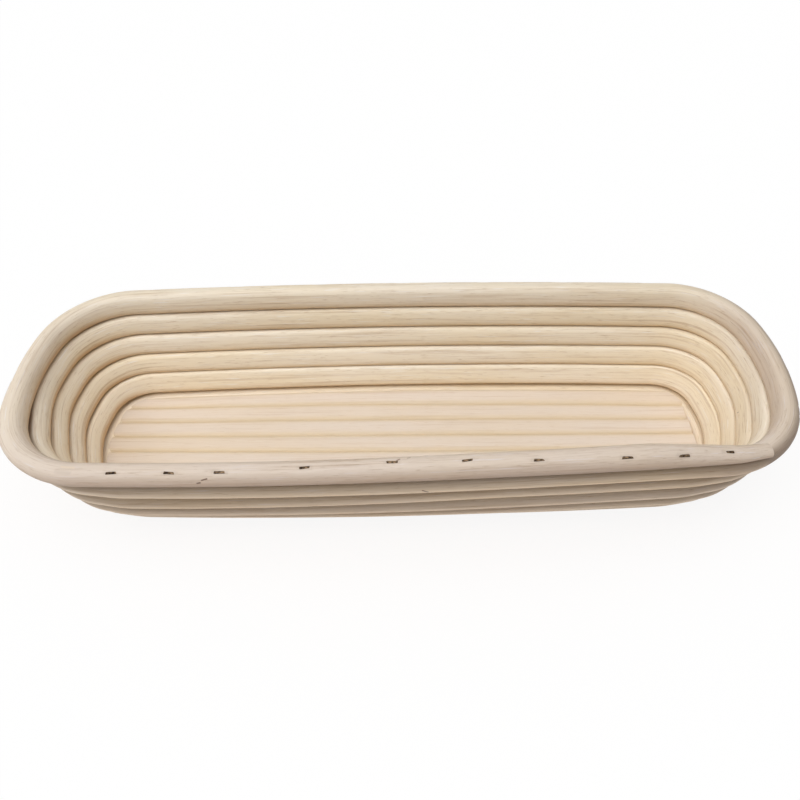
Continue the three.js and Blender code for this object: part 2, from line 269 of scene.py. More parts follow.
def outlineArcs():  # from the middle of the right front corner, anticlockwise seen from above
    end = math.atan2(cornerY, cornerX - endX)
    side = math.atan2(cornerX, cornerY + sideY)
    quarter = math.pi / 2
    half = (end + quarter - side) / 2
    corner, long, short = winding["cornerRadius"], winding["sideRadius"], winding["endRadius"]
    plan = [
        (cornerX, -cornerY, corner, -half, -end),
        (endX, 0, short, -end, end),
        (cornerX, cornerY, corner, end, quarter - side),
        (0, -sideY, long, quarter - side, quarter + side),
        (-cornerX, cornerY, corner, quarter + side, 2 * quarter - end),
        (-endX, 0, short, 2 * quarter - end, 2 * quarter + end),
        (-cornerX, -cornerY, corner, 2 * quarter + end, 2 * quarter + half),
        (-cornerX, -cornerY, corner, 2 * quarter + half, 3 * quarter - side),
        (0, sideY, long, 3 * quarter - side, 3 * quarter + side),
        (cornerX, -cornerY, corner, 3 * quarter + side, 4 * quarter - half),
    ]
    found, start = [], 0.0
    for x, y, radius, low, high in plan:
        length = radius * (high - low)
        found.append({"x": x, "y": y, "radius": radius, "low": low, "start": start, "length": length})
        start += length
    return found, start


arcs, lapLength = outlineArcs()
climbStart = arcs[-3]["start"]
tailStop = arcs[-1]["start"] + arcs[-1]["length"] * winding["tailCornerShare"]  # then it runs straight on
frontCorners = [at + winding["tuckShift"] * way for at, way in ((0, 1), (climbStart, -1), (lapLength, 1))]


def outlineAt(distance, offset):
    arc = next((a for a in arcs if distance <= a["start"] + a["length"]), arcs[-1])
    angle = arc["low"] + (distance - arc["start"]) / arc["radius"]
    normal = Vector((math.cos(angle), math.sin(angle), 0))
    return Vector((arc["x"], arc["y"], 0)) + normal * (arc["radius"] + offset), normal, arc


def flareAt(level):
    gain = winding["flareAtRim"] - winding["flareAtFloor"]
    return math.radians(winding["flareAtFloor"] + gain * level / rimLevel)


def sectionAt(level):  # the wall in section is a shallow arc: how far out and how high a level lies
    bend = (flareAt(level) - flareAt(0)) / 2
    chord = level * winding["pitch"] * (math.sin(bend) / bend if bend else 1)
    lean = flareAt(0) + bend
    return chord * math.sin(lean), winding["floorHeight"] + chord * math.cos(lean)


def climbAt(distance):
    share = min(max((distance - climbStart) / (lapLength - climbStart), 0), 1)
    return share * share * (3 - 2 * share)


rimOut = sectionAt(rimLevel + climbAt(tailStop))[0]
tailEnd = tailStop + winding["tailRun"] * winding["cornerRadius"] / (winding["cornerRadius"] + rimOut)


def sideBlend(normal, right=0.0, rear=0.0, left=0.0, front=0.0):  # one value from those of the four sides
    alongX = normal.x ** 2 * (right if normal.x > 0 else left)
    return alongX + normal.y ** 2 * (rear if normal.y > 0 else front)


def mound(apart):  # 1 in the middle, smoothly down to 0 at 1
    return max(0.0, 1 - apart * apart) ** 2


def tuckAt(level, distance):
    share = mound(min(abs(distance - corner) for corner in frontCorners) / winding["tuckReach"])
    level = min(rimLevel, max(0.0, level))
    share *= (winding["baseTuck"] + winding["tuckPerLap"] * level) * (1 - (level / rimLevel) ** 2)
    return winding["frontTuck"] * share


def fullerAt(distance):  # half of how much wider the rim is near the left front corner
    apart = (distance - frontCorners[1] + winding["fullBefore"]) / winding["fullReach"]
    return winding["rimFuller"] / 2 * mound(apart)


def pushAt(level, normal):
    apart = (level - winding["bulgeLevel"]) / winding["bulgeReach"]
    bulge = winding["frontBulge"] * max(0.0, 1 - apart ** 2) - winding["baseBack"] * max(0.0, 1 - level)
    atEnds = sideBlend(normal, **winding["endPush"]) * max(0.0, 1 - (level / rimLevel) ** 4)
    return atEnds + sideBlend(normal, front=bulge)


def caneRing(lap, distance):
    climb = climbAt(distance)
    level = lap + climb
    flare = flareAt(level)
    plainOffset, height = sectionAt(level)
    plain, normal = outlineAt(distance, plainOffset)[:2]
    offset = plainOffset + pushAt(max(0.0, level), normal) - tuckAt(level, distance)
    point, normal, arc = outlineAt(distance, offset)
    upright = Vector((0, 0, 1))
    out = normal * math.cos(flare) - upright * math.sin(flare)

    def bySide(key):
        return sideBlend(normal, **winding[key])

    isRim = lap == rimLevel
    isOpen = isRim or (lap == rimLevel - 1 and distance > tailEnd)
    isStart = not isRim or distance < lapLength / 2
    isCovered = float(level >= winding["coverFrom"])
    toRim = max(0.0, 1 - (lapLength - distance) / winding["rimFade"]) if lap == rimLevel - 1 else 0.0
    slim = min(1.0, distance / winding["slimFade"]) if isRim else 0.0
    frontSlim = slim * sideBlend(normal, front=winding["frontSlim"]) * (1 - climb ** 3)
    fuller = fullerAt(distance) if isRim else 0.0
    middle = Vector((point.x, point.y, height)) + out * (fuller - frontSlim)
    power = bySide("insidePower") + winding["powerPerLap"] * (level - rimLevel / 2)
    # shares of painted shade, and of dust with painted crease shade in the joints, set by side and level
    lineRise = winding["lineAtFloor"] + (1 - winding["lineAtFloor"]) * level / rimLevel
    dull = min(1.0, winding["lowDull"] + winding["dullPerLap"] * level)
    edge = sideBlend(normal, right=1.0, front=float(isStart)) * winding["rightEdge"]
    return {
        "lap": lap, "distance": distance, "middle": middle * mm + Vector((0, shiftY, 0)),
        "carry": (middle - Vector((plain.x, plain.y, height))) * mm,
        "up": normal * math.sin(flare) + upright * math.cos(flare), "out": out,
        "along": Vector((-normal.y, normal.x, 0)), "stretch": (arc["radius"] + offset) / arc["radius"],
        "wide": (winding["halfWide"] + fuller - frontSlim - slim * bySide("endSlim")) * mm,
        "high": winding["halfHigh"] * mm,
        "insidePower": power - winding["baseSquare"] * max(0.0, 1 - abs(level - 1)),
        "planedTop": (winding["planedTop"] + height - winding["floorHeight"]) * mm if lap == 0 else unplaned,
        "coverTop": 0.0 if isOpen else isCovered, "coverLow": isCovered,
        "tanShare": bySide("tanShare"), "lineShare": bySide("lineShare") * lineRise,
        "outsideShade": 0.0 if isOpen else dull, "rimEdge": edge if isOpen else 0.0,
        "rimUnder": sideBlend(normal, front=winding["frontUnder"]) if isRim else 0.0,
        "rimShade": bySide("rimTone") * (1.0 if isRim else toRim),
        "baseWarm": winding["baseWarm"] * max(0.0, 1 - level),
    }


def lapRings(lap, low, high, step):  # rings at an even real step along a stretch of one lap
    rings, distance = [], low
    while distance < high:
        ring = caneRing(lap, distance)
        rings.append(ring)
        distance += step / ring["stretch"]
    return rings


def straightOn(ring, travel):
    return {**ring, "middle": ring["middle"] + ring["along"] * travel}


def roundedEnd(rings, atStart, bevel):  # the cut end's edge is broken by a fine bevel
    ring = rings[0] if atStart else rings[-1]
    way = -bevel * mm if atStart else bevel * mm
    close = straightOn(ring, -way)
    tip = {**straightOn(ring, way), "wide": ring["wide"] - bevel * mm, "high": ring["high"] - bevel * mm}
    return [tip, ring, close, *rings[1:]] if atStart else [*rings[:-1], close, ring, tip]


def windingRings():
    startShare = winding["startThickness"] / winding["pitch"]
    steps = winding["startSteps"]
    tried = (climbStart + (lapLength - climbStart) * i / steps for i in range(steps))
    start = next(distance for distance in tried if climbAt(distance) > startShare)
    rings = lapRings(-1, start, lapLength, winding["lapStep"])
    for lap in range(rimLevel):
        rings += lapRings(lap, 0, lapLength, winding["lapStep"])
    rings += lapRings(rimLevel, 0, tailStop, winding["rimStep"])
    last = caneRing(rimLevel, tailStop)
    travels = np.linspace(0, winding["tailRun"], winding["tailRings"])
    rings += [straightOn(last, travel * mm) for travel in travels]
    run = 0.0
    for before, ring in zip([rings[0], *rings], rings):
        run += (ring["middle"] - before["middle"]).length
        ring["run"] = run
    for ring in rings:  # the tail is pared from its top, down to the tip's thickness
        left = (rings[-1]["run"] - ring["run"]) / mm
        share = max(0.0, 1 - left / (winding["tailTaper"] + winding["tailRun"]))
        height = 1 - share * (1 - winding["tailTip"] / (2 * winding["halfHigh"]))
        ring["middle"] = ring["middle"] - ring["up"] * ring["high"] * (1 - height)
        ring["high"] *= height
        ring["wide"] *= math.sqrt(height)
    bevel = winding["endBevel"]
    return roundedEnd(roundedEnd(rings, True, bevel), False, bevel)


# the cane itself: a section swept along a path, with lumps and dents under the staples

sweepLook = {
    "lumpUpwards": 0.4, "swayShift": 31.0, "dentCore": 0.8, "planedBlend": 0.6, "tableBlend": 0.2,
    # where marks and painted shade begin and where they are full, as shares of the way from the middle to the
    # skin
    "joint": (0.89, 0.97), "inside": (0.4, -0.3), "flank": (0.15, 1.0), "outside": (0.05, 0.7),
    "upper": (-0.4, 0.95), "edge": (-0.25, 0.6), "brow": (-0.1, 0.5), "lower": (0.45, -0.5),
}
sweepLengths = ("Table Gap", "Lump Height", "Lump Length", "Sway Height", "Sway Length", "Press Depth",
                "Press Reach")


def caneSweepTree():
    tree, given, out = newTree("cane sweep", "GeometryNodeTree", {
        "Path": "Geometry", "Sides": "Int", "Staple Seats": "Object", "Material": "Material",
        **alike("Float", *sweepLengths, "Corner Power", "Seed", "Tone", "Flank Tan"),
    }, {"Cane": "Geometry"})
    line = firstOf(tree, "GeometryNodeMeshToCurve", {"Mesh": given["Path"]})
    fed = {"Resolution": given["Sides"], "Radius": 1.0}
    circle = firstOf(tree, "GeometryNodeCurvePrimitiveCircle", fed, mode="RADIUS")
    place = firstOf(tree, "GeometryNodeInputPosition")
    profile = store(tree, circle, "caneRound", place, "FLOAT_VECTOR")
    cane = swept(tree, line, profile)

    # section: a circle, or squarer where the power is under one
    turn = parted(tree, named(tree, "caneRound", "FLOAT_VECTOR"))
    isInside = mathOf(tree, "LESS_THAN", turn[0], 0.0)
    change = minus(tree, named(tree, "insidePower"), given["Corner Power"])
    power = plus(tree, given["Corner Power"], times(tree, isInside, change))

    def squared(value):
        size = mathOf(tree, "POWER", mathOf(tree, "ABSOLUTE", value), power)
        return times(tree, mathOf(tree, "SIGN", value), size)

    across, upward = squared(turn[0]), squared(turn[1])
    run = named(tree, "run")

    def slowNoise(length, shift):  # a value about zero that changes slowly along the cane
        spot = joined(tree, mathOf(tree, "DIVIDE", run, length), plus(tree, given["Seed"], shift))
        return minus(tree, noiseOf(tree, spot, detail=1.0), 0.5)

    lump = times(tree, slowNoise(given["Lump Length"], 0.0), given["Lump Height"])
    sway = times(tree, slowNoise(given["Sway Length"], sweepLook["swayShift"]), given["Sway Height"])
    acrossPart = times(tree, across, plus(tree, named(tree, "wide"), lump))
    upPart = times(tree, upward, plus(tree, named(tree, "high"), times(tree, lump, sweepLook["lumpUpwards"])))
    outward, up = named(tree, "out", "FLOAT_VECTOR"), named(tree, "up", "FLOAT_VECTOR")
    middle = vectorOf(tree, "ADD", named(tree, "middle", "FLOAT_VECTOR"), scaled(tree, outward, sway))
    spoke = vectorOf(tree, "ADD", scaled(tree, outward, acrossPart), scaled(tree, up, upPart))
    skin = vectorOf(tree, "ADD", middle, spoke)

    # dents where the staples were driven in, then flat below and where it is planed
    fed = {"Object": given["Staple Seats"]}
    seats = addNode(tree, "GeometryNodeObjectInfo", fed, transform_space="ORIGINAL").outputs["Geometry"]
    fed = {0: seats, "Sample Position": skin}
    gap = addNode(tree, "GeometryNodeProximity", fed, target_element="POINTS").outputs["Distance"]
    isNear = ramp(tree, gap, given["Press Reach"], sweepLook["dentCore"] * mm)
    inward = scaled(tree, vectorOf(tree, "NORMALIZE", spoke), times(tree, isNear, given["Press Depth"]))
    skin = parted(tree, vectorOf(tree, "SUBTRACT", skin, inward))
    height = mathOf(tree, "SMOOTH_MIN", skin[2], named(tree, "planedTop"), sweepLook["planedBlend"] * mm)
    height = mathOf(tree, "SMOOTH_MAX", height, given["Table Gap"], sweepLook["tableBlend"] * mm)

    # what the finish reads: the way of the fibres, dust and painted shade in the joints, painted shade on the
    # flanks, outsides and rim, the staples and the cut ends
    def zone(name, value):
        return ramp(tree, value, *sweepLook[name])

    topSide = times(tree, upward, named(tree, "coverTop"))
    lowSide = times(tree, upward, -1.0, named(tree, "coverLow"))
    # joint lines: dust with painted crease shade
    joint = times(tree, zone("joint", largest(tree, topSide, lowSide)), named(tree, "lineShare"))
    # painted tan shade on the lower inside flanks, and on the floor canes' flanks
    lowInside = times(tree, lowSide, zone("inside", across), named(tree, "tanShare"))
    flank = times(tree, zone("flank", mathOf(tree, "ABSOLUTE", across)), given["Flank Tan"])
    # painted shade on the upper outside of overhung laps
    overhung = times(tree, zone("outside", across), zone("upper", upward), named(tree, "outsideShade"))
    # painted shade on the rim's outer side and underside
    edge = times(tree, zone("edge", across), named(tree, "rimEdge"))
    under = times(tree, zone("brow", across), zone("lower", upward), named(tree, "rimUnder"))
    marks = {
        "caneCover": joint, "lowFlank": largest(tree, lowInside, named(tree, "baseWarm"), flank),
        "caneShade": largest(tree, overhung, edge, under), "stapleNear": isNear, "caneTone": given["Tone"],
    }
    cane = store(tree, cane, "caneFlow", joined(tree, run, acrossPart, upPart), "FLOAT_VECTOR")
    for name, value in marks.items():
        cane = store(tree, cane, name, value)
    corners = addNode(tree, "GeometryNodeInputMeshFaceNeighbors").outputs["Vertex Count"]
    isCut = mathOf(tree, "GREATER_THAN", corners, 4.5)  # only the cut ends have over four corners
    cane = store(tree, cane, "endGrain", isCut, domain="FACE")
    fed = {"Geometry": cane, "Position": joined(tree, skin[0], skin[1], height)}
    cane = firstOf(tree, "GeometryNodeSetPosition", fed)
    feed(tree, out["Cane"], finished(tree, cane, given["Material"], minus(tree, 1.0, isCut)))
    return tree


# the staples: seats are read from the frame, a bent wire goes on each

staple = {
    "crown": 5.0, "leg": 16.0, "thickness": 0.7, "width": 1.1, "shoulder": 0.45, "easedShare": 0.3,
    "shoulderSteps": 4, "easedSteps": 2, "turnSpread": 0.14, "sinkSpread": 0.05, "seed": 11,
    "proud": -0.04, "sunk": {"rim_staple_14": 0.3},  # the first on the front is driven in deepest
    # some on the front sit a little further along (mm) and higher round the rim (degrees)
    "moved": {"rim_staple_18": (0.6, 11), "rim_staple_19": (0.5, 21), "rim_staple_20": (1.1, 14),
              "rim_staple_22": (-0.4, -10), "rim_staple_23": (0.5, -10), "rim_staple_24": (2.4, 9)},
    "frontFloorSunk": 0.16, "facingFront": 0.9, "backSunk": 0.12, "endSunk": 0.42,
    "lastBack": "rim_staple_13", "dentMarks": 5,
}


stapleLengths = ("Crown", "Leg", "Thickness", "Width", "Shoulder", "Sink Spread")


def onCane(seat, turn):  # a seat carried with its cane on to the cane's skin, and turned round it
    near = np.linalg.norm(plainMiddles - seat, axis=1).argmin()
    ring = caneRings[near]
    spoke = np.array(seat) - plainMiddles[near]
    out, up = np.array(ring["out"]), np.array(ring["up"])
    core = seat - out * (spoke @ out) - up * (spoke @ up) + np.array(ring["carry"])
    angle = math.atan2(spoke @ up, spoke @ out) + math.radians(turn)
    across, upward = math.cos(angle), math.sin(angle)
    power = 2 / winding["cornerPower"]
    reach = (abs(across / ring["wide"]) ** power + abs(upward / ring["high"]) ** power) ** (-1 / power)
    return core + (out * across + up * upward) * reach


def stapleSeat(node, outwards):
    points = np.array([v.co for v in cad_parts[node].data.vertices])
    middle = (points.min(0) + points.max(0)) / 2
    leg, crown = np.linalg.svd(points - points.mean(0), full_matrices=False)[2][:2]
    pull = np.array([middle[0], middle[1], 0]) if outwards else np.array([0, 0, 1])
    leg = leg if leg @ pull > 0 else -leg
    reach = ((points - points.mean(0)) @ leg).max()
    sunk = staple["sunk"].get(node, 0.0)
    if outwards and -leg[1] > staple["facingFront"]:
        sunk += staple["frontFloorSunk"]
    if node.startswith("rim") and node <= staple["lastBack"]:
        sunk += staple["endSunk" if abs(leg[0]) > abs(leg[1]) else "backSunk"]
    along, turn = staple["moved"].get(node, (0.0, 0.0))
    seat = onCane(points.mean(0) + leg * reach + np.array([along * mm, 0, 0]), turn)
    return {"seat": seat + leg * (staple["proud"] - sunk) * mm, "leg": leg, "crown": crown}


def stapleTree():
    tree, given, out = newTree("staples", "GeometryNodeTree", {
        "Seats": "Geometry", "Seed": "Int", "Material": "Material",
        **alike("Float", *stapleLengths, "Turn Spread"),
    }, {"Staples": "Geometry"})
    # the wire's line has four points: foot, shoulder, shoulder, foot
    wire = firstOf(tree, "GeometryNodeMeshLine", {"Count": 4})
    fromMiddle = minus(tree, firstOf(tree, "GeometryNodeInputIndex"), 1.5)
    isFoot = mathOf(tree, "GREATER_THAN", mathOf(tree, "ABSOLUTE", fromMiddle), 1.0)
    half = times(tree, minus(tree, given["Crown"], given["Thickness"]), 0.5)
    depth = plus(tree, times(tree, given["Thickness"], 0.5), times(tree, isFoot, given["Leg"]))
    spot = joined(tree, times(tree, mathOf(tree, "SIGN", fromMiddle), half), None, times(tree, depth, -1.0))
    wire = firstOf(tree, "GeometryNodeSetPosition", {"Geometry": wire, "Position": spot})
    wire = firstOf(tree, "GeometryNodeMeshToCurve", {"Mesh": wire})

    def eased(curve, radius, count):
        fed = {"Curve": curve, "Radius": radius, "Count": count}
        return firstOf(tree, "GeometryNodeFilletCurve", fed, mode="POLY")

    wire = eased(wire, given["Shoulder"], staple["shoulderSteps"])
    wire = firstOf(tree, "GeometryNodeSetCurveNormal", {"Curve": wire, "Normal": (0, 1, 0)}, mode="FREE")
    fed = {"Width": given["Width"], "Height": given["Thickness"]}
    section = firstOf(tree, "GeometryNodeCurvePrimitiveQuadrilateral", fed, mode="RECTANGLE")
    section = eased(section, times(tree, given["Thickness"], staple["easedShare"]), staple["easedSteps"])
    body = swept(tree, wire, section)

    # one on each seat, a little turned and sunk as by hand
    def chance(spread, shift):
        fed = {2: times(tree, spread, -1.0), 3: spread, "Seed": plus(tree, given["Seed"], shift)}
        return addNode(tree, "FunctionNodeRandomValue", fed, data_type="FLOAT").outputs[1]  # its number

    leg, crown = named(tree, "stapleLeg", "FLOAT_VECTOR"), named(tree, "stapleCrown", "FLOAT_VECTOR")
    stands = firstOf(tree, "FunctionNodeAxesToRotation", {0: leg, 1: crown},
                     primary_axis="Z", secondary_axis="X")
    fed = {"Axis": (0, 0, 1), "Angle": chance(given["Turn Spread"], 0)}
    twist = firstOf(tree, "FunctionNodeAxisAngleToRotation", fed)
    turned = firstOf(tree, "FunctionNodeRotateRotation", {0: stands, 1: twist}, rotation_space="LOCAL")
    fed = {"Geometry": given["Seats"], "Offset": scaled(tree, leg, chance(given["Sink Spread"], 1))}
    lowered = firstOf(tree, "GeometryNodeSetPosition", fed)
    fed = {"Points": lowered, "Instance": body, "Rotation": turned}
    copies = firstOf(tree, "GeometryNodeInstanceOnPoints", fed)
    feed(tree, out["Staples"], finished(tree, copies, given["Material"], True))
    return tree


# shared shader effects

fibreLook = {
    # waves per metre along and across the cane, detail and roughness of each noise
    "slow": (9.0, 60.0, 2.0, 0.5), "band": (14.0, 620.0, 3.0, 0.6), "fine": (45.0, 2100.0, 3.0, 0.6),
    "pore": (170.0, 3800.0, 1.0, 0.5), "fleck": (70.0, 1700.0, 1.0, 0.5),
    # the part of each noise that shows
    "slowShown": (0.28, 0.75), "bandShown": (0.5, 0.78), "fineShown": (0.52, 0.8),
    "poreShown": (0.64, 0.76), "fleckShown": (0.62, 0.74),
    "toneShare": 0.5, "bandShare": 0.7, "fineShare": 0.6,
    "fineHeight": -0.55, "poreDepth": 0.6, "bandDepth": 0.5, "gloss": (0.3, 1.2, 0.5, 0.72),
}


def fibreGroup():  # long pale and brown streaks, pores and slow changes of tone along the cane
    tree, given, out = newTree("cane fibres", "ShaderNodeTree", {
        "Flow": "Vector", **alike("Color", "Pale", "Warm", "Streak", "Fleck"),
        **alike("Float", "Tone", "Streak Strength", "Pore Strength", "Fleck Strength"),
    }, {"Color": "Color", **alike("Float", "Height", "Roughness")})

    def noise(name):
        along, across, detail, roughness = fibreLook[name]
        spot = vectorOf(tree, "MULTIPLY", given["Flow"], (along, across, across))
        return noiseOf(tree, spot, detail, roughness)

    def shown(name, value):
        return ramp(tree, value, *fibreLook[name + "Shown"])

    band, fine = noise("band"), noise("fine")
    pores, flecks = shown("pore", noise("pore")), shown("fleck", noise("fleck"))
    tone = plus(tree, noise("slow"), times(tree, minus(tree, given["Tone"], 0.5), fibreLook["toneShare"]))
    streaks = plus(tree, times(tree, shown("band", band), fibreLook["bandShare"]),
                   times(tree, shown("fine", fine), fibreLook["fineShare"]))
    colour = blendColour(tree, shown("slow", tone), given["Pale"], given["Warm"])
    marks = ((streaks, "Streak Strength", "Streak"), (pores, "Pore Strength", "Streak"),
             (flecks, "Fleck Strength", "Fleck"))
    for share, strength, tint in marks:
        colour = blendColour(tree, times(tree, share, given[strength]), colour, given[tint])
    height = times(tree, fine, fibreLook["fineHeight"])
    for mark, depth in ((pores, "poreDepth"), (band, "bandDepth")):
        height = minus(tree, height, times(tree, mark, fibreLook[depth]))
    feed(tree, out["Color"], colour)
    feed(tree, out["Height"], height)
    feed(tree, out["Roughness"], ramp(tree, plus(tree, fine, pores), *fibreLook["gloss"]))
    return tree


dustAndShadeLook = {
    "waves": (60.0, 300.0, 300.0), "detail": 3.0, "patches": (0.2, 0.7, 0.65, 1.0), "flank": (0.1, 0.95),
    "stainPower": 3.0, "stainShare": 0.12,
}


def dustAndShadeGroup():  # dust with painted shade where canes press together and round the staples, painted shade on low flanks, overhung outsides and the rim
    tree, given, out = newTree("joint grime", "ShaderNodeTree", {
        "Flow": "Vector", **alike("Color", "Color", "Grime", "Tan", "Dull"),
        **alike("Float", "Cover", "Low Flank", "Shade", "Staple", "Line Strength", "Tan Strength"),
    }, {"Color": "Color"})
    patchy = noiseOf(tree, vectorOf(tree, "MULTIPLY", given["Flow"], dustAndShadeLook["waves"]), dustAndShadeLook["detail"])
    # painted tan shade on the low flanks
    soft = times(tree, ramp(tree, given["Low Flank"], *dustAndShadeLook["flank"]), given["Tan Strength"])
    colour = blendColour(tree, soft, given["Color"], given["Tan"])
    # painted shade, multiplied in on overhung outsides and on the rim's outer side and underside
    colour = blendColour(tree, given["Shade"], colour, given["Dull"], "MULTIPLY")
    # dark joint lines: dust with painted crease shade
    line = times(tree, given["Cover"], ramp(tree, patchy, *dustAndShadeLook["patches"]), given["Line Strength"])
    # dust and painted shade of the dents round the staples
    stapleDustShade = mathOf(tree, "POWER", given["Staple"], dustAndShadeLook["stainPower"])
    dust = largest(tree, line, times(tree, stapleDustShade, dustAndShadeLook["stainShare"]))
    feed(tree, out["Color"], blendColour(tree, dust, colour, given["Grime"]))
    return tree


strokeCore = 0.3  # the share of a stroke's reach where it is full


def strokeGroup():  # a short stroke on the cane, from a start along a span in the fibres' own measure
    inputs = {**alike("Vector", "Flow", "Start", "Span"), "Reach": "Float"}
    tree, given, out = newTree("stroke", "ShaderNodeTree", inputs, {"Mask": "Float"})
    away = vectorOf(tree, "SUBTRACT", given["Flow"], given["Start"])
    share = mathOf(tree, "DIVIDE", vectorOf(tree, "DOT_PRODUCT", away, given["Span"]),
                   vectorOf(tree, "DOT_PRODUCT", given["Span"], given["Span"]))
    share = mathOf(tree, "MINIMUM", largest(tree, share, 0.0), 1.0)
    gap = vectorOf(tree, "LENGTH", vectorOf(tree, "SUBTRACT", away, scaled(tree, given["Span"], share)))
    feed(tree, out["Mask"], ramp(tree, gap, given["Reach"], times(tree, given["Reach"], strokeCore)))
    return tree


fibres = fibreGroup()
grime = dustAndShadeGroup()
stroke = strokeGroup()


def attribute(tree, name, output="Fac"):
    return addNode(tree, "ShaderNodeAttribute", attribute_name=name).outputs[output]


def newMaterial(name):
    material = bpy.data.materials.new(name)
    material.use_nodes = True
    tree = material.node_tree
    return material, tree, tree.nodes["Principled BSDF"]


def groupNode(tree, group, finish, links):  # inputs that aren't linked take the finish's value of that name
    node = addNode(tree, "ShaderNodeGroup", links, node_tree=group)
    for socket in node.inputs:
        if socket.name not in links:
            feed(tree, socket, finish[keyOf(socket.name)])
    return node.outputs


def addBump(tree, shader, height, strength, depth):
    fed = {"Height": height, "Strength": strength, "Distance": depth * mm}
    feed(tree, shader.inputs["Normal"], firstOf(tree, "ShaderNodeBump", fed))


caneRings = windingRings()
plainMiddles = np.array([ring["middle"] - ring["carry"] for ring in caneRings])


def flowSpot(lap, distance, turn):  # a place on the winding in the measure that the finish reads
    ring = min((r for r in caneRings if r["lap"] == lap), key=lambda r: abs(r["distance"] - distance))
    angle = math.radians(turn)
    across, upward = (math.copysign(abs(part) ** winding["cornerPower"], part)
                      for part in (math.cos(angle), math.sin(angle)))
    return Vector((ring["run"], across * ring["wide"], upward * ring["high"]))


wallFinish = {
    "pale": fromBytes(249, 237, 216), "warm": fromBytes(246, 230, 200), "streak": fromBytes(190, 158, 120),
    "streakStrength": 0.75, "poreStrength": 0.5, "fleck": fromBytes(255, 250, 244), "fleckStrength": 0.5,
    # grime is dust and painted shade; tan and dull are colours of painted shade
    "grime": fromBytes(106, 71, 40), "tan": fromBytes(212, 178, 134), "dull": (0.47, 0.43, 0.41, 1.0),
    "lineStrength": 0.8, "tanStrength": 0.9, "endCut": fromBytes(224, 204, 176), "bump": 0.7,
    "bumpDepth": 0.16, "rimTint": (0.785, 0.745, 0.765, 1.0),
    "scar": fromBytes(134, 110, 92), "scrape": fromBytes(226, 207, 184),
    "strokes": [  # lap, distance and turn of both ends, then reach and colour
        ((5, 479.2, 14), (5, 479.8, 18), 0.65, "scar"),
        ((5, 481.2, 34), (5, 482.6, 42), 0.5, "scar"),
        ((5, 557.8, 104), (5, 558.9, 112), 0.5, "scar"),
        ((5, 562.0, 118), (5, 563.2, 123), 0.5, "scar"),
        ((3, 24.6, 195), (3, 25.2, 199), 0.4, "scar"),
        ((4, 569.0, 8), (4, 570.0, -6), 0.6, "scar"),
        ((5, 427.0, 97), (5, 430.0, 95), 0.7, "scrape"),
    ],
}
floorFinish = {
    "pale": fromBytes(238, 225, 210), "warm": fromBytes(237, 221, 200), "streak": fromBytes(198, 168, 130),
    "streakStrength": 0.5, "poreStrength": 0.35, "fleck": fromBytes(250, 242, 230), "fleckStrength": 0.2,
    "grime": fromBytes(140, 104, 66), "tan": fromBytes(222, 199, 152), "dull": (1.0, 1.0, 1.0, 1.0),
    "lineStrength": 0.0, "tanStrength": 0.45, "endCut": fromBytes(200, 170, 132), "bump": 0.45,
    "bumpDepth": 0.12, "rimTint": (1.0, 1.0, 1.0, 1.0), "strokes": [],
}
caneLook = {"specular": 0.35, "vessels": 1500.0, "holes": (0.35, 0.15)}  # open vessels show on a cut end


def caneMaterial(name, finish):
    material, tree, shader = newMaterial(name)
    flow = attribute(tree, "caneFlow", "Vector")
    grain = groupNode(tree, fibres, finish, {"Flow": flow, "Tone": attribute(tree, "caneTone")})
    colour = groupNode(tree, grime, finish, {
        "Flow": flow, "Color": grain["Color"], "Cover": attribute(tree, "caneCover"),
        "Low Flank": attribute(tree, "lowFlank"), "Shade": attribute(tree, "caneShade"),
        "Staple": attribute(tree, "stapleNear"),
    })["Color"]
    # painted shade: the rim is darker, more on some sides than others
    colour = blendColour(tree, attribute(tree, "rimShade"), colour, finish["rimTint"], "MULTIPLY")
    for first, last, reach, tint in finish["strokes"]:
        start = flowSpot(*first)
        span = flowSpot(*last) - start
        links = {"Flow": flow, "Start": start, "Span": span, "Reach": reach * mm}
        mark = groupNode(tree, stroke, finish, links)["Mask"]
        colour = blendColour(tree, mark, colour, finish[tint])
    fed = {"Vector": flow, "Scale": caneLook["vessels"]}
    isHole = ramp(tree, addNode(tree, "ShaderNodeTexVoronoi", fed).outputs["Distance"], *caneLook["holes"])
    cut = blendColour(tree, isHole, finish["endCut"], finish["grime"])
    colour = blendColour(tree, attribute(tree, "endGrain"), colour, cut)
    feedAll(tree, shader, {"Base Color": colour, "Roughness": grain["Roughness"],
                           "Specular IOR Level": caneLook["specular"]})
    addBump(tree, shader, grain["Height"], finish["bump"], finish["bumpDepth"])
    return material


wireFinish = {
    "bronze": fromBytes(112, 92, 70), "dark": fromBytes(34, 25, 18), "scratch": 800.0, "detail": 4.0,
    "tarnish": (0.35, 0.65), "gloss": (0.3, 0.7, 0.32, 0.6), "metallic": 0.85, "bump": 0.3, "bumpDepth": 0.05,
}


def wireMaterial():
    material, tree, shader = newMaterial("stapleBronze")
    spot = addNode(tree, "ShaderNodeTexCoord").outputs["Object"]
    noise = noiseOf(tree, spot, detail=wireFinish["detail"], scale=wireFinish["scratch"])
    tarnish = ramp(tree, noise, *wireFinish["tarnish"])
    colour = blendColour(tree, tarnish, wireFinish["bronze"], wireFinish["dark"])
    feedAll(tree, shader, {"Base Color": colour, "Roughness": ramp(tree, noise, *wireFinish["gloss"]),
                           "Metallic": wireFinish["metallic"]})
    addBump(tree, shader, noise, wireFinish["bump"], wireFinish["bumpDepth"])
    return material


wallMaterial = caneMaterial("wallRattan", wallFinish)
floorMaterial = caneMaterial("floorRattan", floorFinish)
bronze = wireMaterial()
print("materials made")


def dress(obj, slot, *nodes):
    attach(obj, "root")
    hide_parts(*nodes)
    print(obj.name, len(obj.data.polygons), "faces")


# staples first, because the winding is dented under them

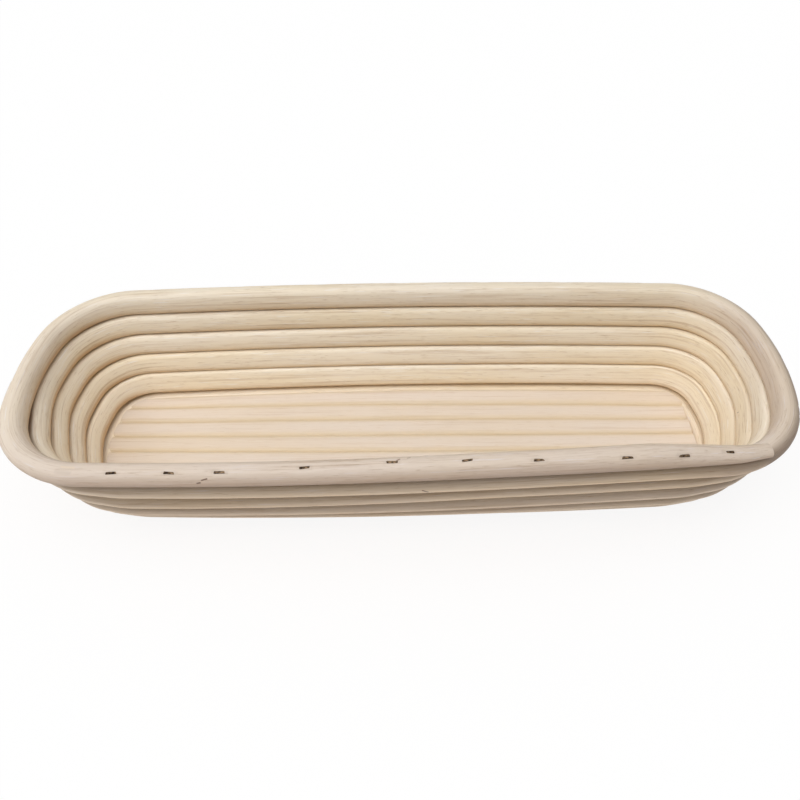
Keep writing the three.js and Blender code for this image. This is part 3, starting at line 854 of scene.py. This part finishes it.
def staplePiece(name, nodes, tree, outwards=False):
    seats = [stapleSeat(node, outwards) for node in nodes]
    mesh = bpy.data.meshes.new(name)
    mesh.from_pydata([seat["seat"] for seat in seats], [], [])
    for key, source in (("stapleLeg", "leg"), ("stapleCrown", "crown")):
        flat = np.array([seat[source] for seat in seats], dtype=np.float32).ravel()
        mesh.attributes.new(key, "FLOAT_VECTOR", "POINT").data.foreach_set("vector", flat)
    obj = runTree(addObject(name, mesh), tree, {
        **{label: staple[keyOf(label)] * mm for label in stapleLengths},
        "Turn Spread": staple["turnSpread"], "Seed": staple["seed"], "Material": bronze,
    })
    dress(obj, "staple_wire", *nodes)
    return seats


def nodesNamed(start):
    return sorted(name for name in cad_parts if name.startswith(start))


stapleWire = stapleTree()
seats = staplePiece("rimStaples", nodesNamed("rim_staple"), stapleWire)
seats += staplePiece("lapStaples", nodesNamed("lap_staple"), stapleWire)
seats += staplePiece("floorStaples", nodesNamed("floor_staple"), stapleWire, outwards=True)

crownSpots = np.linspace(-0.5, 0.5, staple["dentMarks"]) * staple["crown"] * mm
seatMesh = bpy.data.meshes.new("stapleSeats")
seatMesh.from_pydata([seat["seat"] + seat["crown"] * spot for seat in seats for spot in crownSpots], [], [])
seatMarks = addObject("stapleSeats", seatMesh)

# the wound wall

caneSweep = caneSweepTree()


def sweepValues(facts):
    values = {label: facts[keyOf(label)] for label in ("Sides", "Corner Power", "Flank Tan")}
    return values | {label: facts[keyOf(label)] * mm for label in sweepLengths}


wall = runTree(pathObject("woundWall", caneRings), caneSweep, {
    **sweepValues(winding), "Staple Seats": seatMarks, "Seed": winding["seed"],
    "Tone": winding["tone"], "Material": wallMaterial,
})
dress(wall, "wall_cane", "wall_winding")

# the floor: six planed canes, pressed a little closer towards their ends

floorCane = {
    "count": 6, "height": 10.45, "gap": 0.3, "bend": 0.3, "lapOver": 3.2, "seam": -0.45, "step": 3.0,
    "sides": 40, "endBevel": 0.12, "cutLength": 30.0, "caneRadius": 5.225, "cornerPower": 0.42,
    # how much shorter some canes are at both ends or at the right, and how the joints lie askew
    "tuck": (1.2, 0.6), "rightGap": {2: 2.6, 3: 2.4, 4: 1.2}, "skew": (3.4, 0.0145),
    "lumpHeight": 0.1, "lumpLength": 30.0, "swayHeight": 0.12, "swayLength": 120.0,
    # painted tan shade darkens each floor cane towards its flanks
    "pressDepth": 0.0, "pressReach": 3.0, "tableGap": 0.0, "flankTan": 1.0,
    "seed": 3, "seedStep": 5.0, "tones": (0.36, 0.64),
}
inset = floorCane["caneRadius"] + floorCane["bend"] + floorCane["gap"]
outermost = (0, floorCane["count"] - 1)


def floorHalfWidth(x):
    reach = min(abs(x), cornerX)
    return math.sqrt((winding["sideRadius"] - inset) ** 2 - reach ** 2) - sideY


def floorReach(y):
    over = floorCane["lapOver"] - inset
    onEnd = endX + math.sqrt((winding["endRadius"] + over) ** 2 - y ** 2)
    past = abs(y) - cornerY
    if past <= 0:
        return onEnd
    return min(onEnd, cornerX + math.sqrt(max(0, (winding["cornerRadius"] + over) ** 2 - past ** 2)))


def floorShare(index):
    return (2 * index + 1) / floorCane["count"] - 1


def floorSkew(x):  # how far towards the rear the joints lie
    return floorCane["skew"][0] - floorCane["skew"][1] * x


def caneReach(index, y, side):  # at the left, and outermost at the right, canes are cut to the corner
    isRound = side < 0 or index in outermost
    reach = floorHalfWidth(cornerX)
    squareAt = abs(floorShare(index) * reach + floorSkew(side * cornerX)) + reach / floorCane["count"]
    tuck = floorCane["tuck"][index] if index < len(floorCane["tuck"]) else 0.0
    if side > 0:
        tuck += floorCane["rightGap"].get(index, 0.0)
    push = winding["endPush"]["right" if side > 0 else "left"]
    return floorReach(y if isRound else squareAt) + push - tuck


def cutToCorner(obj, index):
    for side in (-1, 1):
        reach = max(vertex.co.x * side for vertex in obj.data.vertices) / mm
        for vertex in obj.data.vertices:
            share = max(0.0, (vertex.co.x * side / mm - reach) / floorCane["cutLength"] + 1)
            short = reach - caneReach(index, (vertex.co.y - shiftY) / mm, side)
            vertex.co.x -= side * short * share * share * mm


def floorRings(index):
    share = floorShare(index)
    isOutermost = index in outermost
    inner = (abs(share) - 1 / floorCane["count"]) * floorHalfWidth(cornerX)
    low, high = -caneReach(index, inner, -1), caneReach(index, inner, 1)
    half = floorCane["height"] / 2
    over = floorCane["lapOver"] / 2 if isOutermost else 0.0
    rings = []
    for x in np.linspace(low, high, math.ceil((high - low) / floorCane["step"])):
        room = floorHalfWidth(x)
        shift = floorSkew(x)
        y = share * room + math.copysign(over, share) + shift * (0.5 if isOutermost else 1.0)
        wide = room / floorCane["count"] - floorCane["seam"] + over
        if isOutermost:
            wide -= math.copysign(shift / 2, share)
        rings.append({
            "middle": Vector((x * mm, y * mm + shiftY, half * mm)), "out": Vector((0, -1, 0)),
            "up": Vector((0, 0, 1)), "along": Vector((1, 0, 0)), "run": (x - low) * mm + index,
            "wide": wide * mm, "high": half * mm, "insidePower": floorCane["cornerPower"],
            "planedTop": unplaned, **dict.fromkeys(markFields, 0.0),
        })
    bevel = floorCane["endBevel"]
    return roundedEnd(roundedEnd(rings, True, bevel), False, bevel)


floorTones = np.random.default_rng(floorCane["seed"]).uniform(*floorCane["tones"], floorCane["count"])
for index, tone in enumerate(floorTones):
    cane = runTree(pathObject(f"floorCane{index + 1}", floorRings(index)), caneSweep, {
        **sweepValues(floorCane), "Tone": float(tone),
        "Seed": floorCane["seed"] + floorCane["seedStep"] * index, "Material": floorMaterial,
    })
    cutToCorner(cane, index)
    dress(cane, "floor_cane", f"floor_cane_{index + 1}")
bpy.data.objects.remove(seatMarks)

# stage: a pale floor that keeps a soft shadow, two soft lamps from above and the left, an even room

stageSet = {
    "floorSize": 8.0, "floorColour": (0.95, 0.82, 0.73, 1.0), "floorRough": 0.9, "floorSpecular": 0.1,
    # the table is white to the camera, a little less so near the basket, where the shadow shows
    "farGlow": 0.995, "nearGlow": 0.9, "nearReach": (0.175, 0.06, 1.0), "farReach": (0.3, 0.2, 1.0),
    "roomColour": (0.96, 0.97, 1.0, 1.0), "roomRange": (-0.2, 0.9, 0.02, 0.3),  # heights, then strengths
    "lampColour": (0.97, 0.975, 1.0),
    "lamps": [
        {"name": "overhead", "place": (-0.02, -0.1, 1.15), "size": 0.9, "watts": 6.05},
        {"name": "leftWindow", "place": (-0.58, -0.36, 1.05), "size": 0.8, "watts": 5.9},
    ],
}


def seenDirectly(tree):  # 1 for what the camera sees, also in gloss or through glass
    path = addNode(tree, "ShaderNodeLightPath").outputs
    return largest(tree, path["Is Camera Ray"], path["Is Glossy Ray"], path["Is Transmission Ray"])


def makeFloor():
    half = stageSet["floorSize"] / 2
    mesh = bpy.data.meshes.new("tableTop")
    corners = [(-half, -half, 0), (half, -half, 0), (half, half, 0), (-half, half, 0)]
    mesh.from_pydata(corners, [], [(0, 1, 2, 3)])
    floor = addObject("tableTop", mesh)
    material, tree, shader = newMaterial("paleTable")
    feedAll(tree, shader, {"Base Color": stageSet["floorColour"], "Roughness": stageSet["floorRough"],
                           "Specular IOR Level": stageSet["floorSpecular"]})
    spot = addNode(tree, "ShaderNodeTexCoord").outputs["Object"]
    near, far = (vectorOf(tree, "LENGTH", vectorOf(tree, "DIVIDE", spot, stageSet[key]))
                 for key in ("nearReach", "farReach"))
    away = mathOf(tree, "DIVIDE", minus(tree, near, 1.0), minus(tree, near, far))
    glowing = ramp(tree, away, 0.0, 1.0, stageSet["nearGlow"], stageSet["farGlow"])
    fed = {0: times(tree, seenDirectly(tree), glowing), 1: shader.outputs[0],
           2: firstOf(tree, "ShaderNodeEmission")}
    feed(tree, tree.nodes["Material Output"].inputs["Surface"], firstOf(tree, "ShaderNodeMixShader", fed))
    mesh.materials.append(material)


def makeRoom():
    world = bpy.data.worlds.new("evenRoom")
    scene.world = world
    world.use_nodes = True
    tree = world.node_tree
    way = parted(tree, addNode(tree, "ShaderNodeTexCoord").outputs["Generated"])
    fed = {"Color": stageSet["roomColour"], "Strength": ramp(tree, way[2], *stageSet["roomRange"])}
    room = feedAll(tree, tree.nodes["Background"], fed)
    white = firstOf(tree, "ShaderNodeBackground", {"Color": (1, 1, 1, 1)})
    fed = {0: seenDirectly(tree), 1: room.outputs[0], 2: white}
    feed(tree, tree.nodes["World Output"].inputs["Surface"], firstOf(tree, "ShaderNodeMixShader", fed))


def makeLamps():
    for facts in stageSet["lamps"]:
        light = bpy.data.lights.new(facts["name"], "AREA")
        light.size = facts["size"]
        light.energy = facts["watts"]
        light.color = stageSet["lampColour"]
        lamp = addObject(facts["name"], light)
        lamp.location = facts["place"]
        lamp.rotation_euler = (-Vector(facts["place"])).to_track_quat("-Z", "Y").to_euler()


makeFloor()
makeRoom()
makeLamps()

# camera: the photograph's close, steep view

photo = {
    "target": (6.6, -28.02, 29.6), "distance": 318.0, "elevation": 52.97, "azimuth": -2.05, "roll": 0.55,
    "focalPixels": 683.97, "imageSize": 800, "centre": (420, 460), "sensor": 36.0, "nearest": 10.0,
}


def makeCamera():
    lens = bpy.data.cameras.new("photoCamera")
    lens.sensor_width = photo["sensor"]
    lens.lens = photo["focalPixels"] / photo["imageSize"] * photo["sensor"]
    lens.shift_x = 0.5 - photo["centre"][0] / photo["imageSize"]
    lens.shift_y = photo["centre"][1] / photo["imageSize"] - 0.5
    lens.clip_start = photo["nearest"] * mm
    camera = addObject("photoCamera", lens)
    azimuth, elevation, roll = (math.radians(photo[key]) for key in ("azimuth", "elevation", "roll"))
    back = Vector((math.sin(azimuth) * math.cos(elevation), -math.cos(azimuth) * math.cos(elevation),
                   math.sin(elevation)))
    right = Vector((math.cos(azimuth), math.sin(azimuth), 0))
    up = back.cross(right)
    rolledRight = right * math.cos(roll) + up * math.sin(roll)
    rolledUp = up * math.cos(roll) - right * math.sin(roll)
    target = Vector(photo["target"]) * mm + Vector((0, shiftY, 0))
    place = Matrix((rolledRight, rolledUp, back)).transposed().to_4x4()
    place.translation = target + back * photo["distance"] * mm
    camera.matrix_world = place
    scene.camera = camera


makeCamera()
print("stage and camera set")
